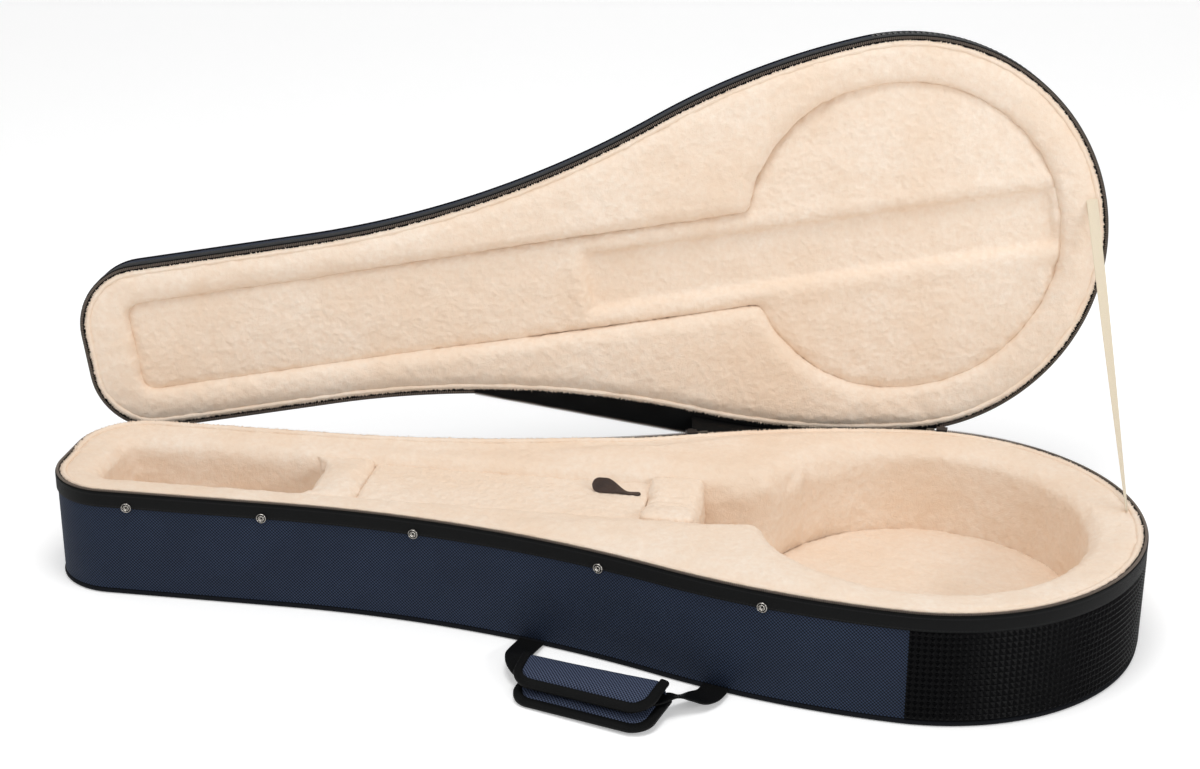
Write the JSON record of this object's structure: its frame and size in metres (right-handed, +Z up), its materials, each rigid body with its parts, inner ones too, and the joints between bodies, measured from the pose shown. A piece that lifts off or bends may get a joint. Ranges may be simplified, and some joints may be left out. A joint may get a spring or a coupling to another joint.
{
  "type": "banjo case",
  "caption": "Teardrop-shaped soft foam banjo case lying open, with a plush-lined base, a hinged lid held by a stay tape, a compartment lid and a padded carrying handle.",
  "frame": {"origin": "middle of the flat underside, midway along the length of the case", "axes": "+X along the case to its round heel end, +Y towards the hinge side, away from the carrying handle, +Z up out of the open base"},
  "size_m": [1.0672, 0.5676, 0.5017],
  "materials": {
    "blue_cloth": "matte",
    "panel_cloth": "matte",
    "black_tape": "matte",
    "black_vinyl": "satin",
    "zipper_coil": "satin",
    "plush": "matte",
    "cream_tape": "matte",
    "grey_tape": "matte",
    "brown_leather": "satin",
    "webbing": "matte",
    "dark_metal": "satin",
    "nickel": "polished"
  },
  "bodies": {
    "base": {"base_outer_panel": "panel_cloth", "base_edge_piping": "black_tape", "base_side_wall": "blue_cloth", "base_rim_tape": "black_tape", "base_heel_patch": "black_vinyl", "base_zipper_coil": "zipper_coil", "base_lining_frame": "plush", "head_well_pad": "plush", "head_rest_block": "plush", "accessory_box": "plush", "yoke_block": "plush", "pot_well_pad": "plush", "zipper_end_tab_heel": "grey_tape", "zipper_end_tab_waist": "grey_tape", "rim_stud_1": "nickel", "rim_stud_2": "nickel", "rim_stud_3": "nickel", "rim_stud_4": "nickel", "rim_stud_5": "nickel", "hinge_gusset": "black_tape", "stay_tape": "cream_tape"},
    "lid": {"lid_outer_panel": "panel_cloth", "lid_edge_piping": "black_tape", "lid_side_wall": "blue_cloth", "lid_rim_tape": "black_tape", "lid_heel_patch": "black_vinyl", "lid_zipper_coil": "zipper_coil", "lid_lining_frame": "plush", "lid_floor_pad": "plush", "zipper_web": "black_tape"},
    "compartment_lid": {"compartment_lid": "plush"},
    "pull_tab": {"pull_tab": "brown_leather"},
    "handle": {"handle_webbing": "webbing", "grip_lower_pad": "blue_cloth", "grip_lower_binding": "black_tape", "grip_fold": "blue_cloth"},
    "grip_flap": {"grip_upper_pad": "blue_cloth", "grip_upper_binding": "black_tape"},
    "slider_heel": {"zipper_slider_heel": "dark_metal"},
    "slider_waist": {"zipper_slider_waist": "dark_metal"},
    "pull_heel": {"zipper_pull_heel": "dark_metal"},
    "pull_waist": {"zipper_pull_waist": "dark_metal"}
  },
  "joints": [
    {"name": "lid_hinge", "type": "hinge", "parent": "base", "child": "lid", "pos_m": [0, 0.15682, 0.0975], "axis": [-0.9881, -0.1537, 0], "range_deg": [-95, 0], "deforming": ["hinge_gusset", "stay_tape", "zipper_web"]},
    {"name": "compartment_lid_hinge", "type": "hinge", "parent": "base", "child": "compartment_lid", "pos_m": [-0.2205, 0, 0.097], "axis": [0, -1, 0], "range_deg": [0, 100]},
    {"name": "pull_tab_hinge", "type": "hinge", "parent": "compartment_lid", "child": "pull_tab", "pos_m": [0.0488, 0.016, 0.098], "axis": [0, 1, 0], "range_deg": [0, 115]},
    {"name": "handle_hinge", "type": "hinge", "parent": "base", "child": "handle", "pos_m": [0.05631, -0.14663, 0.003], "axis": [0.952, -0.3062, 0], "range_deg": [-60, 0]},
    {"name": "grip_flap_hinge", "type": "hinge", "parent": "handle", "child": "grip_flap", "pos_m": [0.04082, -0.1948, 0.0108], "axis": [-0.952, 0.3062, 0], "range_deg": [0, 120], "deforming": ["grip_fold"]},
    {"name": "slider_heel_run", "type": "hinge", "parent": "base", "child": "slider_heel", "pos_m": [0.318, 0, 0.11], "axis": [0, 0, -1], "range_deg": [0, 178]},
    {"name": "slider_waist_run", "type": "hinge", "parent": "base", "child": "slider_waist", "pos_m": [-0.28067, 1.11197, 0.11], "axis": [0, 0, -1], "range_deg": [0, 20]},
    {"name": "pull_heel_hinge", "type": "hinge", "parent": "slider_heel", "child": "pull_heel", "pos_m": [0.33137, 0.20727, 0.1097], "axis": [0.9979, -0.0644, 0], "range_deg": [0, 55]},
    {"name": "pull_waist_hinge", "type": "hinge", "parent": "slider_waist", "child": "pull_waist", "pos_m": [0.07899, 0.15613, 0.1097], "axis": [0.9359, 0.3522, 0], "range_deg": [0, 100]}
  ]
}
